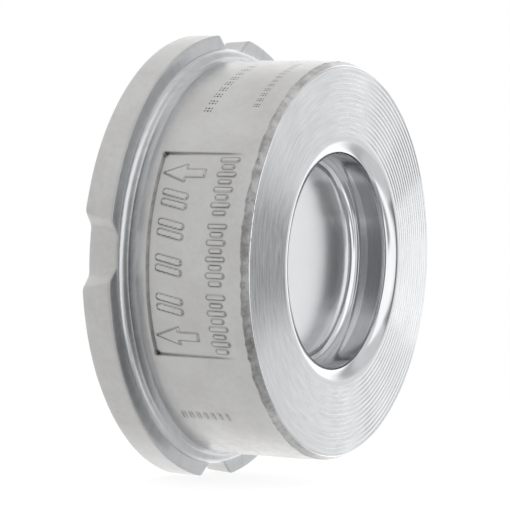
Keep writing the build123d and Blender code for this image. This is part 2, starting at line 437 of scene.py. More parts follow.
def add(tree, kind, values=None, **settings):
    """Add a node; values are numbers, or output sockets to link, by input name or index."""
    node = tree.nodes.new(kind)
    for key, value in settings.items():
        setattr(node, key, value)
    for key, value in (values or {}).items():
        if isinstance(value, bpy.types.NodeSocket):
            tree.links.new(value, node.inputs[key])
        else:
            node.inputs[key].default_value = value
    return node


def math_node(tree, operation, a, b=0.0, c=0.0, clamp=False):
    """Output of a Math node."""
    values = {0: a, 1: b, 2: c}
    return add(tree, "ShaderNodeMath", values, operation=operation, use_clamp=clamp).outputs[0]


def blend_value(tree, factor, a, b):
    """Output of a number mix from a to b."""
    return add(tree, "ShaderNodeMix", {0: factor, 2: a, 3: b}).outputs[0]


def ramp(tree, value, low, high, out_low=0.0, out_high=1.0):
    """Smooth step of a value between low and high, onto out_low to out_high."""
    node = add(tree, "ShaderNodeMapRange", {"Value": value, "From Min": low, "From Max": high,
               "To Min": out_low, "To Max": out_high}, interpolation_type="SMOOTHSTEP")
    return node.outputs["Result"]


def noise_at(tree, vector, scale, detail=2.0, roughness=0.5):
    """Output of a noise texture; scale counts features per metre."""
    values = {"Vector": vector, "Scale": scale, "Detail": detail, "Roughness": roughness}
    return add(tree, "ShaderNodeTexNoise", values).outputs["Fac"]


def blend_colour(tree, factor, a, b):
    """Output of a colour mix from a to b."""
    node = add(tree, "ShaderNodeMix", data_type="RGBA")
    for key, value in ((0, factor), (6, a), (7, b)):
        if isinstance(value, bpy.types.NodeSocket):
            tree.links.new(value, node.inputs[key])
        else:
            node.inputs[key].default_value = value
    return node.outputs[2]


def grey(value, warmth=0.0):
    """A grey colour, slightly warm or cold."""
    return (value * (1 + warmth), value, value * (1 - warmth), 1.0)


def metal(tree, shader, colour, roughness, bump):
    """Link a metal's surface to its shader."""
    tree.links.new(colour, shader.inputs["Base Color"])
    tree.links.new(roughness, shader.inputs["Roughness"])
    tree.links.new(bump.outputs[0], shader.inputs["Normal"])
    shader.inputs["Metallic"].default_value = 1.0


def polar(tree):
    """Sockets of the object position: X, distance from the flow axis, and angle round it."""
    position = add(tree, "ShaderNodeTexCoord").outputs["Object"]
    axes = add(tree, "ShaderNodeSeparateXYZ", {0: position}).outputs
    squares = math_node(tree, "MULTIPLY", axes[1], axes[1])
    radius = math_node(tree, "SQRT", math_node(tree, "MULTIPLY_ADD", axes[2], axes[2], squares))
    minus_y = math_node(tree, "MULTIPLY", axes[1], -1.0)
    angle = math_node(tree, "ARCTAN2", minus_y, axes[2])
    return position, axes[0], radius, angle


# smooth zone of the casting: the flange's front face, the bead and the neck beside it
GROUND_LEVEL = 0.6
GROUND_ROUGH = 0.31
GROUND_START = (-12.62, -12.52)
GROUND_END = (-9.4, -7.0)
SCRATCH_HEIGHT = 0.3

# two bands of peened dots on the barrel, each a start, an end and a half height, with the ends
# as (X, degrees round the axis); a band is square groups of dots with a gap after each group
PEENED_ROWS = [((0.3, 46.1), (1.3, 17.5), 0.9), ((12.35, 43.7), (12.2, 14.8), 0.7)]
DOTS_IN_GROUP = 2
DOT_SHARE = 0.3
DOT_DIRT = 0.85
# colour of the darkening: painted shade, and inside the peened dots
DARKENING_COLOUR = 0.045
SOFT_EDGE = 0.1


def cast_steel(name, level, rough, grain, contrast=0.09, worked=False):
    """Blasted stainless casting: mottled grey, fine grain, painted shade in its corners and on one
    side.

    A worked one also has the bands of peened dots, and a smooth zone round the bead."""
    material, shader = new_material(name)
    tree = material.node_tree
    position, x, _, angle = polar(tree)
    patches = noise_at(tree, position, 85.0, 4.0, 0.6)
    specks = noise_at(tree, position, 650.0, 3.0, 0.65)
    fine = noise_at(tree, position, 3200.0, 2.0)
    tone = math_node(tree, "MULTIPLY_ADD", patches, 0.55, math_node(tree, "MULTIPLY", specks, 0.45))
    dark = grey(level * (1 - contrast), 0.014)
    light = grey(level * (1 + contrast), 0.004)
    colour = blend_colour(tree, ramp(tree, tone, 0.3, 0.7), dark, light)
    roughness = ramp(tree, specks, 0.3, 0.7, rough - 0.06, rough + 0.08)
    height = math_node(tree, "MULTIPLY_ADD", specks, 0.6, math_node(tree, "MULTIPLY", fine, 0.4))
    if worked:
        colour, roughness, height = ground_zone(tree, x, angle, colour, roughness, height)
    # darkening stored on the mesh: mostly painted shade in corners and on the plate's side, with
    # grinding streaks
    grime_and_shade = add(tree, "ShaderNodeAttribute", attribute_name="grime_and_shade").outputs["Fac"]
    darkening = math_node(tree, "MULTIPLY", grime_and_shade, ramp(tree, specks, 0.25, 0.6, 0.8, 1.0), clamp=True)
    bump = add(tree, "ShaderNodeBump", {"Height": height, "Strength": grain, "Distance": 0.00008})
    if worked:
        darkening, bump = peened_dots(tree, x, angle, darkening, bump)
    # the darkening colour over painted shade and the peened dots
    colour = blend_colour(tree, darkening, colour, grey(DARKENING_COLOUR, 0.03))
    metal(tree, shader, colour, roughness, bump)
    return material


def ground_zone(tree, x, angle, colour, roughness, height):
    """Lay the smooth, scratched finish over a cast surface's colour, roughness and height."""
    share = ground_share(tree, x)
    marks = scratches(tree, x, angle)
    ground = blend_colour(tree, marks, grey(GROUND_LEVEL * 0.92, -0.024), grey(GROUND_LEVEL, -0.02))
    faint = math_node(tree, "MULTIPLY", marks, SCRATCH_HEIGHT)
    return (blend_colour(tree, share, colour, ground),
            blend_value(tree, share, roughness, GROUND_ROUGH),
            blend_value(tree, share, height, faint))


def peened_dots(tree, x, angle, darkening, bump):
    """Add the peened bands to a surface's darkening and bump."""
    peened = peened_rows(tree, x, angle)
    darkening = math_node(tree, "MAXIMUM", darkening, math_node(tree, "MULTIPLY", peened, DOT_DIRT))
    sunk = math_node(tree, "MULTIPLY", peened, -1.0)
    values = {"Height": sunk, "Normal": bump.outputs[0], "Strength": 0.8, "Distance": 0.0001}
    return darkening, add(tree, "ShaderNodeBump", values)


def ground_share(tree, x):
    """Share from 0 to 1 of the smooth finish along the axis."""
    start = ramp(tree, x, GROUND_START[0] * MM, GROUND_START[1] * MM)
    end = ramp(tree, x, GROUND_END[0] * MM, GROUND_END[1] * MM, 1.0, 0.0)
    return math_node(tree, "MULTIPLY", start, end)


def scratches(tree, x, angle):
    """Long grinding scratches, a little askew to the bead."""
    arc = math_node(tree, "MULTIPLY", angle, BARREL_R * MM)
    askew = math_node(tree, "MULTIPLY_ADD", arc, 0.22, x)
    along = math_node(tree, "MULTIPLY", arc, 0.12)
    lines = add(tree, "ShaderNodeCombineXYZ", {0: askew, 1: along})
    return ramp(tree, noise_at(tree, lines.outputs[0], 1500.0, 3.0, 0.6), 0.3, 0.6)


def peened_rows(tree, x, angle):
    """Mask of bands of small dots in plain groups."""
    total = None
    for start, end, half_height in PEENED_ROWS:
        along, side, length = band_position(tree, x, angle, start, end)
        centred = math_node(tree, "ABSOLUTE", math_node(tree, "SUBTRACT", along, length / 2))
        in_length = ramp(tree, centred, length / 2, length / 2 + SOFT_EDGE, 1.0, 0.0)
        height = math_node(tree, "ABSOLUTE", side)
        in_height = ramp(tree, height, half_height, half_height + SOFT_EDGE, 1.0, 0.0)
        inside = math_node(tree, "MULTIPLY", in_height, in_length)
        pitch = 2 * half_height / DOTS_IN_GROUP
        row = math_node(tree, "MULTIPLY", dots(tree, along, side, pitch), inside)
        total = row if total is None else math_node(tree, "MAXIMUM", total, row)
    return total


def band_position(tree, x, angle, start, end):
    """Distances along a band on the barrel and to its side, and the band's length."""
    x0, s0 = start[0], math.radians(start[1]) * BARREL_R
    x1, s1 = end[0], math.radians(end[1]) * BARREL_R
    length = math.hypot(x1 - x0, s1 - s0)
    ux, us = (x1 - x0) / length, (s1 - s0) / length
    dx = math_node(tree, "MULTIPLY_ADD", x, 1 / MM, -x0)
    ds = math_node(tree, "MULTIPLY_ADD", angle, BARREL_R, -s0)
    along = math_node(tree, "MULTIPLY_ADD", dx, ux, math_node(tree, "MULTIPLY", ds, us))
    side = math_node(tree, "MULTIPLY_ADD", dx, -us, math_node(tree, "MULTIPLY", ds, ux))
    return along, side, length


def dots(tree, along, side, pitch):
    """Mask of a grid of dots in groups of columns, with a column left out after each group."""
    u = math_node(tree, "DIVIDE", along, pitch)
    v = math_node(tree, "MULTIPLY_ADD", side, 1 / pitch, 0.5)
    column = math_node(tree, "FLOORED_MODULO", math_node(tree, "FLOOR", u), DOTS_IN_GROUP + 1)
    kept = math_node(tree, "LESS_THAN", column, DOTS_IN_GROUP - 0.5)
    du = math_node(tree, "SUBTRACT", math_node(tree, "FRACT", u), 0.5)
    dv = math_node(tree, "SUBTRACT", math_node(tree, "FRACT", v), 0.5)
    squares = math_node(tree, "MULTIPLY_ADD", du, du, math_node(tree, "MULTIPLY", dv, dv))
    distance = math_node(tree, "SQRT", squares)
    round_dot = ramp(tree, distance, DOT_SHARE * 0.7, DOT_SHARE * 1.25, 1.0, 0.0)
    return math_node(tree, "MULTIPLY", round_dot, kept)


def turned_steel(name, level, rough, anisotropy, streak, ring_scale, grain=0.05):
    """Machined stainless steel with fine tool rings round the flow axis."""
    material, shader = new_material(name)
    tree = material.node_tree
    position, x, radius, angle = polar(tree)
    across = math_node(tree, "ADD", radius, x)
    around = math_node(tree, "MULTIPLY", angle, 0.0035)
    rings = add(tree, "ShaderNodeCombineXYZ", {0: across, 1: around})
    lines = noise_at(tree, rings.outputs[0], ring_scale, 3.0, 0.6)
    cloud = noise_at(tree, position, 60.0, 2.0)
    tone = math_node(tree, "MULTIPLY_ADD", lines, 0.7, math_node(tree, "MULTIPLY", cloud, 0.3))
    dark = grey(level * (1 - streak), -0.02)
    light = grey(level * (1 + streak), -0.016)
    colour = blend_colour(tree, ramp(tree, tone, 0.3, 0.7), dark, light)
    roughness = ramp(tree, lines, 0.25, 0.75, rough * 0.9, rough * 1.12)
    bump = add(tree, "ShaderNodeBump", {"Height": lines, "Strength": grain, "Distance": 0.00005})
    metal(tree, shader, colour, roughness, bump)
    tangent = add(tree, "ShaderNodeTangent", direction_type="RADIAL", axis="X")
    tree.links.new(tangent.outputs[0], shader.inputs["Tangent"])
    shader.inputs["Anisotropic"].default_value = anisotropy
    # a quarter turn, so that highlights spread across the tool rings
    shader.inputs["Anisotropic Rotation"].default_value = 0.25
    return material


# ---------------------------------------------------------------- the casting

# mesh of the barrel: spans round the axis as (last degree, step), fine over the plate and over the
# ticks, and rows along X as start, end and step over the plate, with wider ones on both sides
BARREL_SPANS = [(58.5, 1.8), (121.5, 0.31), (139.5, 1.8), (144.0, 0.35), (360.0, 1.8)]
PLATE_ROWS = (-7.0, 16.0, 0.27)
NECK_ROWS = [BARREL_START_X, -8.3, -7.6]
RIM_ROWS = [16.4, 17.0, 17.5, 17.8]


def plate_marks_distance(x, s):
    """Signed distance to the nearest raised mark; s runs round the barrel from the middle."""
    best = np.full(x.shape, 1e9)
    for degrees in ARROWS_DEG:
        best = np.minimum(best, polygon_distance(x, s - arc_from_plate(degrees), ARROW))
    for degrees in SLANTED_DEG:
        for start, end in SLANTED_BARS:
            away = bar_distance(x, s - arc_from_plate(degrees), start, end, SLANTED_WIDTH)
            best = np.minimum(best, away)
    for group in FINE_GROUPS_DEG:
        for i in range(FINE_IN_GROUP):
            x0, x1, width = FINE_BARS[i % 2]
            middle = arc_from_plate(group + i * FINE_STEP_DEG)
            best = np.minimum(best, bar_distance(x, s - middle, (x0, 0), (x1, 0), width))
    return best


def arc_from_plate(degrees):
    """Distance round the barrel from the plate's middle."""
    return (math.radians(degrees) - PLATE_CENTRE) * BARREL_R


def plate_relief(x, theta):
    """Height over the barrel, and painted shade, of the sunk plate and its raised marks."""
    s = (theta - PLATE_CENTRE) * BARREL_R
    middle = sum(PLATE_X) / 2
    edge = box_distance(x - middle, s, PLATE_X[1] - middle, PLATE_HALF * BARREL_R, PLATE_CORNER)
    depth = np.interp(x, PLATE_X, PLATE_DEPTH)
    softness = smooth((x - PLATE_SOFT_X) / (PLATE_X[1] - PLATE_SOFT_X))
    wall = PLATE_WALL + softness * (PLATE_SOFT_WALL - PLATE_WALL)
    sunk = smooth(-edge / wall)
    mark = plate_marks_distance(x, s)
    raised = raised_share(mark, MARK_EDGE) * smooth(-edge / MARK_MARGIN)
    # painted shade at the foot of the wall, fading towards the inlet end, in the two corners and round
    # the marks
    shade_fade = smooth((x - WALL_SHADE_END_X) / (PLATE_X[1] - WALL_SHADE_END_X))
    foot = bell(edge, -WALL_SHADE_WIDTH, WALL_SHADE_WIDTH) * (1 - shade_fade)
    outline = bell(mark, MARK_SHADE_AT, MARK_SHADE_WIDTH) * (edge < -WALL_SHADE_WIDTH)
    corner_s = PLATE_HALF * BARREL_R - CORNER_SHADE_INSET
    corner = np.hypot(x - PLATE_X[0] - CORNER_SHADE_INSET, np.abs(s) - corner_s)
    pit = bell(corner, 0.0, CORNER_SHADE_R)
    grime_and_shade = np.clip(PLATE_WALL_SHADE * foot + MARK_SHADE * outline + pit, 0, 1)
    return MARK_HEIGHT * raised - depth * sunk, grime_and_shade


def tick_relief(x, theta):
    """Height and painted shade of the row of small raised ticks."""
    s = (theta - TICK_CENTRE) * BARREL_R
    best = np.full(x.shape, 1e9)
    reach = TICK_HALF_LENGTH - TICK_HALF_WIDTH
    nearest = np.clip(s, -reach, reach)
    for centre in TICKS_X:
        best = np.minimum(best, np.hypot(x - centre, s - nearest) - TICK_HALF_WIDTH)
    # painted shade round the foot of each tick
    darkening = TICK_SHADE * bell(best, TICK_SHADE_WIDTH, TICK_SHADE_WIDTH)
    return TICK_HEIGHT * raised_share(best, TICK_EDGE), darkening


def add_barrel(skin):
    """Barrel from the bead to the rim, with the sunk plate and the ticks."""
    theta = graded(BARREL_SPANS)
    for row in np.concatenate([NECK_ROWS, np.arange(*PLATE_ROWS), RIM_ROWS]):
        x = np.full(theta.shape, row)
        r = np.interp(x, [BARREL_START_X, BARREL_TAPER_X, RIM_X], [BARREL_R, BARREL_R, RIM_R])
        plate, plate_darkening = plate_relief(x, theta)
        ticks, tick_darkening = tick_relief(x, theta)
        darkening = plate_darkening + tick_darkening + neck_streaks(x, theta)
        skin.ring(x, r + plate + ticks, theta, CAST, darkening, wave=CAST_WAVE)


def neck_streaks(x, theta):
    """Faint grinding streaks on painted shade beside the bead, as darkening."""
    near = 1 - smooth((x - BARREL_START_X) / NECK_LENGTH)
    along = x * STREAKS_PER_MM
    points = np.stack([along, STREAK_RADIUS * np.sin(theta), STREAK_RADIUS * np.cos(theta)], axis=-1)
    amount = NECK_SHADE * painted_shade_share(theta) + lumps(points, 1.0, STREAK_AMOUNT)
    return np.clip(near * amount, 0, 1)


def add_rim(skin):
    """Rough band between the barrel and the inlet face, with a thin burr at its edge."""
    theta = graded(BARREL_SPANS)
    circle = round_points(theta, RIM_R)
    ragged = sum(lumps(circle, size, RIM_RAGGED) for size in RIM_LUMPS)
    skin.ring(RIM_X - RIM_ROUND[0] + ragged, RIM_R + RIM_ROUND[1], theta, CAST, wave=CAST_WAVE)
    # painted shade on the rough band, darkest on the plate's side
    darkening = RIM_SHADE * painted_shade_share(theta)
    start_r = RIM_R - RIM_DROP
    skin.ring(RIM_X + ragged, start_r, theta, RIM, darkening + RIM_EDGE_DARKER, wave=CAST_WAVE)
    length = X_IN - RIM_BACK - RIM_X
    end_r = FACE_R + BURR_START[1]
    for step in (0.2, 0.4, 0.6, 0.8):
        x = RIM_X + ragged * (1 - step) + step * length
        r = start_r + step * (end_r - start_r)
        skin.ring(x, r, theta, RIM, darkening, wave=RIM_WAVE * (1 - step))
    burr = lumps(circle, BURR_LUMPS, BURR_RAGGED)
    skin.ring(X_IN - BURR_START[0] + burr, FACE_R + BURR_START[1], theta, RIM, darkening)
    for back, out in BURR:
        skin.ring(X_IN - back + burr * back, FACE_R + out, theta, TURNED)


def teeth(face_x, sign, first_r, count):
    """Section of a serrated face: going outwards, long flanks fall and short ones rise."""
    outline = []
    floor_x = face_x - sign * TOOTH_DEPTH
    for i in range(count):
        r = first_r + i * TOOTH_PITCH
        outline.append((face_x, r))
        outline.append((face_x, r + TOOTH_CREST * TOOTH_PITCH))
        outline.append((floor_x, r + TOOTH_FLANK * TOOTH_PITCH))
        outline.append((floor_x, r + TOOTH_FLOOR * TOOTH_PITCH))
    outline.append((face_x, first_r + count * TOOTH_PITCH))
    return outline


def add_inlet_face(skin):
    """Serrated inlet face, from its rim inwards, then the rounded mouth and the bore."""
    theta = even(360)
    skin.turn(teeth(X_IN, 1, INLET_TOOTH_R, INLET_TEETH)[::-1], theta, TURNED)
    theta = even(240)
    # the mouth and the seat lip in a lighter copy of the bore's steel: painted highlight
    skin.turn([(X_IN + x, r) for x, r in MOUTH], theta, LIT_BORE)
    skin.turn([(16.0, PORT_R), (13.5, PORT_R)], theta, BORE)
    skin.turn(LIP, theta, LIT_BORE)
    skin.turn([(SEAT_X, SEAT_MIDDLE_R), (SEAT_X, RIB_R - 0.3)], theta, BORE)


def chamber_section():
    """Angles and radii round the chamber: its wall and four ribs with rounded corners."""
    rib_corner = math.asin(RIB_HALF / (RIB_R + RIB_EDGE))
    rib_root = math.asin(RIB_HALF / CHAMBER_R)
    quarter = []
    for share in np.linspace(0, 0.88, 5):
        offset = rib_corner * share
        quarter.append((offset, RIB_R / math.cos(offset)))
    quarter.append((rib_corner * 0.97, RIB_R + RIB_EDGE / 3))
    quarter.append((rib_corner, RIB_R + RIB_EDGE))
    for r in np.linspace(RIB_R + 1.6, CHAMBER_R - 1.2, 4):
        quarter.append((math.asin(RIB_HALF / r), r))
    for offset, below in RIB_ROOT:
        quarter.append((rib_root + offset, CHAMBER_R - below))
    for offset in np.linspace(rib_root + 0.07, math.pi / 4, 12):
        quarter.append((offset, CHAMBER_R))
    mirrored = [(math.pi / 2 - offset, r) for offset, r in quarter[-2:0:-1]]
    whole = quarter + mirrored
    turns = [(0.5 + k) * math.pi / 2 for k in range(4)]
    theta = np.concatenate([[offset + turn for offset, r in whole] for turn in turns])
    radii = np.tile([r for offset, r in whole], 4)
    order = np.argsort(theta % TURN)
    return (theta % TURN)[order], radii[order]


def add_chamber(skin):
    """Seat land, relief round it, ribbed chamber and groove for the retaining ring."""
    theta, radii = chamber_section()
    wall = radii > RIB_R + 2 * RIB_EDGE
    skin.ring(SEAT_X, np.minimum(SEAT_LAND_R, radii), theta, BORE)
    foot = np.where(wall, SEAT_LAND_R + SEAT_RELIEF, radii)
    skin.ring(np.where(wall, CHAMBER_FRONT_X, SEAT_X - RIB_STEP), foot, theta, RAW)
    skin.ring(np.where(wall, CHAMBER_FRONT_X, SEAT_X - 2 * RIB_STEP), radii, theta, RAW)
    for x in (8.0, 3.0, -2.0, -7.0, RIB_END_X + RIB_END_ROUND):
        skin.ring(x, radii, theta, RAW, wave=CAST_WAVE)
    edge_r = np.maximum(radii, np.minimum(radii + RIB_END_EDGE, CHAMBER_R))
    skin.ring(RIB_END_X + RIB_END_EDGE, edge_r, theta, RAW)
    skin.ring(RIB_END_X, np.minimum(radii + RIB_END_ROUND, CHAMBER_R), theta, BORE)
    skin.ring(RIB_END_X - CHAMBER_LEDGE, CHAMBER_R, theta, BORE)
    start, end, groove_r = RING_GROOVE
    skin.turn([(start, CHAMBER_R), (start, groove_r), (end, groove_r), (end, CHAMBER_R)], theta, BORE)
    skin.turn([(X_OUT + OUTLET_EDGE, CHAMBER_R), (X_OUT, CHAMBER_R + OUTLET_EDGE)], theta, BORE)


def notch_profile(t):
    """Half of a notch's edge at depth share t, from its middle outwards, as (arc, radius)."""
    sizes = (NOTCH_FLOOR_HALF, NOTCH_LOBE_HALF, NOTCH_FLOOR_R)
    floor_half, lobe_half, floor_r = (a + t * (b - a) for a, b in sizes)
    corners = [(0.0, floor_r), (floor_half, floor_r), (lobe_half, LOBE_R)]
    corners.append((lobe_half + 3.0, LOBE_R))
    points = [(floor_half * share, floor_r) for share in (0.0, 0.25, 0.5, 0.7)]
    for before, corner, after in zip(corners, corners[1:], corners[2:]):
        start = step_from(corner, before, NOTCH_ROUND)
        end = step_from(corner, after, NOTCH_ROUND)
        for u in np.linspace(0, 1, 6):
            a = (1 - u) ** 2
            b = 2 * u * (1 - u)
            c = u * u
            points.append(tuple(a * p + b * q + c * w for p, q, w in zip(start, corner, end)))
    # one more point in the middle of the slanted side, after the floor's and first corner's ten
    points.insert(10, tuple((p + q) / 2 for p, q in zip(points[9], points[10])))
    return points


def step_from(corner, other, distance):
    """The point at a distance from a corner towards another point."""
    gap = math.hypot(other[0] - corner[0], other[1] - corner[1])
    return tuple(c + (o - c) * distance / gap for c, o in zip(corner, other))


def flange_section(x):
    """Angles and radii round the flange at one X; point k is the same feature at every X."""
    t = (x - X_OUT) / (FLANGE_FRONT_X - X_OUT)
    half = [(arc / r, r) for arc, r in notch_profile(min(max(t, 0.0), 1.0))]
    last = half[-1][0]
    lobe = [(a, LOBE_R) for a in np.linspace(last, math.pi / 4, 26)[1:]]
    quarter = half + lobe
    mirrored = [(math.pi / 2 - a, r) for a, r in quarter[-2:0:-1]]
    whole = quarter + mirrored
    theta = np.concatenate([[a + k * math.pi / 2 for a, r in whole] for k in range(NOTCHES)])
    return theta, np.tile([r for a, r in whole], NOTCHES)


def add_outlet_face(skin):
    """Serrated outlet face, from the chamber outwards."""
    skin.turn(teeth(X_OUT, -1, OUTLET_TOOTH_R, OUTLET_TEETH), even(288), TURNED)
    theta, radii = flange_section(X_OUT)
    skin.ring(X_OUT, 50.0, theta, TURNED)
    skin.ring(X_OUT, np.minimum(radii - FLANGE_ROUND, radii), theta, TURNED)


def add_flange(skin):
    """Lobes and notches with rounded edges, then the flange's front face."""
    for a in (30, 60, 90):
        x = X_OUT + FLANGE_ROUND * (1 - math.cos(math.radians(a)))
        theta, radii = flange_section(x)
        r = radii - FLANGE_ROUND * (1 - math.sin(math.radians(a)))
        skin.ring(x, r, theta, CAST, wave=CAST_WAVE)
    for x in np.linspace(X_OUT + 1.0, FLANGE_FRONT_X - 0.9, 8):
        theta, radii = flange_section(x)
        skin.ring(x, radii, theta, CAST, wave=CAST_WAVE)
    theta, radii = flange_section(FLANGE_FRONT_X)
    edge = np.clip(radii - BEAD_FOOT_R - 0.06, 0.1, FLANGE_EDGE)
    random_share = lumps(round_points(theta, LOBE_R), NICK_SIZE, 1.0) - NICK_THRESHOLD
    nicks = np.clip(random_share, 0, 1) * NICK_DEPTH * (radii > LOBE_R - 0.1)
    # painted shade along the front edge, darkest in the nicks
    for a in (90, 60, 30, 0):
        x = FLANGE_FRONT_X - edge * (1 - math.cos(math.radians(a)))
        r = radii - edge * (1 - math.sin(math.radians(a))) - nicks * math.cos(math.radians(a))
        skin.ring(x, r, theta, CAST, grime_and_shade=nicks * NICK_SHADE + FLANGE_EDGE_SHADE, wave=CAST_WAVE)
    # painted shade on the flange's front face, darkest on the plate's side
    painted_shade = FLANGE_FRONT_SHADE * painted_shade_share(theta)
    inner = np.minimum(radii - edge - 0.02, BEAD_FOOT_R + 0.4)
    for share in (0.33, 0.66, 1.0):
        r = (radii - edge) * (1 - share) + inner * share
        skin.ring(FLANGE_FRONT_X, r, theta, CAST, grime_and_shade=painted_shade)


def add_bead(skin):
    """Round bead between the flange and the barrel."""
    theta = even(400)
    radii, amounts = zip(*SHADE)
    for x, r in BEAD:
        # painted shade on the bead and its hollow, darkest on the plate's side
        amount = np.interp(r, radii, amounts)
        skin.ring(x, r, theta, CAST, grime_and_shade=amount * painted_shade_share(theta), wave=CAST_WAVE)


def painted_shade_share(theta):
    """How dark the painted shade lies round the casting, up to 1."""
    return SHADE_LEAST + (1 - SHADE_LEAST) * bell(theta, SHADE_CENTRE, SHADE_SPREAD)


def make_body():
    """The one-piece casting with all its machined surfaces."""
    skin = Skin()
    add_outlet_face(skin)
    add_flange(skin)
    add_bead(skin)
    add_barrel(skin)
    add_rim(skin)
    add_inlet_face(skin)
    add_chamber(skin)
    materials = [
        cast_steel("blasted_casting", level=0.60, rough=0.34, grain=0.3, worked=True),
        cast_steel("raw_rim", level=0.56, rough=0.4, grain=1.0, contrast=0.36),
        turned_steel("turned_face", level=0.70, rough=0.2, anisotropy=0.7, streak=0.09,
                     ring_scale=1400.0, grain=0.03),
        turned_steel("turned_bore", level=0.48, rough=0.12, anisotropy=0.2, streak=0.04,
                     ring_scale=900.0),
        cast_steel("chamber_casting", level=0.52, rough=0.5, grain=0.5),
        # the bore's steel made lighter: painted highlight on the rounded mouth and the seat lip
        turned_steel("lit_turned_bore", level=0.68, rough=0.13, anisotropy=0.2, streak=0.04,
                     ring_scale=900.0),
    ]
    piece = skin.make("body_casting", materials)
    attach(piece, "housing")
    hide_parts("body")


# ---------------------------------------------------------------- disc, spring, retainer and ring

def rounded(outline, size, steps=4):
    """An open (x, radius) outline with its inner corners rounded."""
    points = [outline[0]]
    for before, corner, after in zip(outline, outline[1:], outline[2:]):
        reach = min(size, math.dist(before, corner) * 0.45, math.dist(corner, after) * 0.45)
        start = step_from(corner, before, reach)
        end = step_from(corner, after, reach)
        for u in np.linspace(0, 1, steps + 1):
            weights = ((1 - u) ** 2, 2 * u * (1 - u), u * u)
            three = list(zip(weights, (start, corner, end)))
            points.append(tuple(sum(w * p[k] for w, p in three) for k in (0, 1)))
    return points + [outline[-1]]


def make_disc():
    """Flat closing disc with a lapped front, a dished back and a boss for the spring."""
    front = disc_high.x
    back = DISC_BACK_X
    dish = back + DISH_DEPTH
    boss_end = disc_low.x + STOP_GAP
    outline = [
        (front, CAP_R), (front, FRONT_RINGS[0]), (front, FRONT_RINGS[1]), (front, DISC_R),
        (back, DISC_R), (back, DISH_OUT_R), (dish, DISH_OUT_R - DISH_WALL),
        (dish, DISH_IN_R + DISH_WALL), (back, DISH_IN_R), (back, DISC_BOSS_R),
        (boss_end, DISC_BOSS_R), (boss_end, CAP_R),
    ]
    skin = Skin()
    skin.turn(rounded(outline, DISC_ROUND), even(192))
    lapped = turned_steel("lapped_disc", level=0.84, rough=0.205, anisotropy=0.1, streak=0.03,
                          ring_scale=1600.0, grain=0.01)
    piece = skin.make("closing_disc", [lapped], closed=False)
    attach(piece, "disc")
    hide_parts("valve_disc")


def spring_path(samples):
    """Centre line of the coil: closed end turns and open turns between, as (angle, x)."""
    start = SPRING_SEAT_X + WIRE_R
    end = DISC_BACK_X - WIRE_R
    turns = SPRING_TURNS + 2 * CLOSED_TURN
    t = np.linspace(0, turns, samples)
    closed = CLOSED_TURN * 2 * WIRE_R
    length = end - start
    knots = [0, CLOSED_TURN, turns - CLOSED_TURN, turns]
    x = start + np.interp(t, knots, [0, closed, length - closed, length])
    return t * TURN, x


def coil_mesh():
    """Mesh of the coil: round wire along the centre line, with flat ends."""
    samples = SPRING_SAMPLES
    sides = WIRE_SIDES
    angle, x = spring_path(samples)
    centres = np.stack([x, -SPRING_R * np.sin(angle), SPRING_R * np.cos(angle)], axis=-1)
    outward = np.stack([np.zeros(samples), -np.sin(angle), np.cos(angle)], axis=-1)
    along = np.gradient(centres, axis=0)
    along /= np.linalg.norm(along, axis=1)[:, None]
    binormal = np.cross(along, outward)
    loops = []
    for k in range(sides):
        a = TURN * k / sides
        loops.append(centres + WIRE_R * (math.cos(a) * outward + math.sin(a) * binormal))
    points = np.stack(loops, axis=1).reshape(-1, 3)
    faces = []
    for i in range(samples - 1):
        for k in range(sides):
            m = (k + 1) % sides
            faces.append([i * sides + k, i * sides + m, (i + 1) * sides + m, (i + 1) * sides + k])
    faces.append(list(range(sides))[::-1])
    faces.append([(samples - 1) * sides + k for k in range(sides)])
    mesh = bpy.data.meshes.new("coil_spring")
    mesh.from_pydata((points * MM).tolist(), [], faces)
    return mesh


def make_spring():
    """Closing spring: a coil of round wire whose end turns are closed."""
    wire = plain_steel("spring_wire", level=0.55, rough=0.3, grain=0.12, scale=900.0)
    piece = finish_mesh("coil_spring", coil_mesh(), [wire], sharp=40)
    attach(piece, "housing")
    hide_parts("closing_spring")
    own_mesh(piece)


def plain_steel(name, level, rough, grain, scale):
    """Tumbled or drawn stainless steel with fine scuffs."""
    material, shader = new_material(name)
    tree = material.node_tree
    position = add(tree, "ShaderNodeTexCoord").outputs["Object"]
    scuffs = noise_at(tree, position, scale, 4.0, 0.6)
    patches = noise_at(tree, position, scale / 9, 2.0)
    tone = math_node(tree, "MULTIPLY_ADD", scuffs, 0.5, math_node(tree, "MULTIPLY", patches, 0.5))
    colour = blend_colour(tree, ramp(tree, tone, 0.35, 0.65), grey(level * 0.9), grey(level * 1.06))
    roughness = ramp(tree, scuffs, 0.3, 0.7, rough * 0.85, rough * 1.25)
    bump = add(tree, "ShaderNodeBump", {"Height": scuffs, "Strength": grain, "Distance": 0.00005})
    metal(tree, shader, colour, roughness, bump)
    return material


WELD_DISTANCE = 0.002
BEVEL_OVER_DEG = 35


def soften_cad(node, material, width):
    """Give a CAD node a material, and break its edges with a small bevel."""
    piece = frame["nodes"][node]
    piece.data.materials.clear()
    piece.data.materials.append(material)
    weld = piece.modifiers.new("weld", "WELD")
    weld.merge_threshold = WELD_DISTANCE * MM
    bevel = piece.modifiers.new("edges", "BEVEL")
    bevel.width = width * MM
    bevel.segments = 2
    bevel.limit_method = "ANGLE"
    bevel.angle_limit = math.radians(BEVEL_OVER_DEG)


# ---------------------------------------------------------------- studio

CAMERA_AZIMUTH = 28.45
CAMERA_ELEVATION = -0.07
CAMERA_ROLL = 2.43
CAMERA_DISTANCE_M = 0.7
LENS_MM = 204.3
SENSOR_MM = 36.0
SHIFT = (-0.0301, 0.0062)

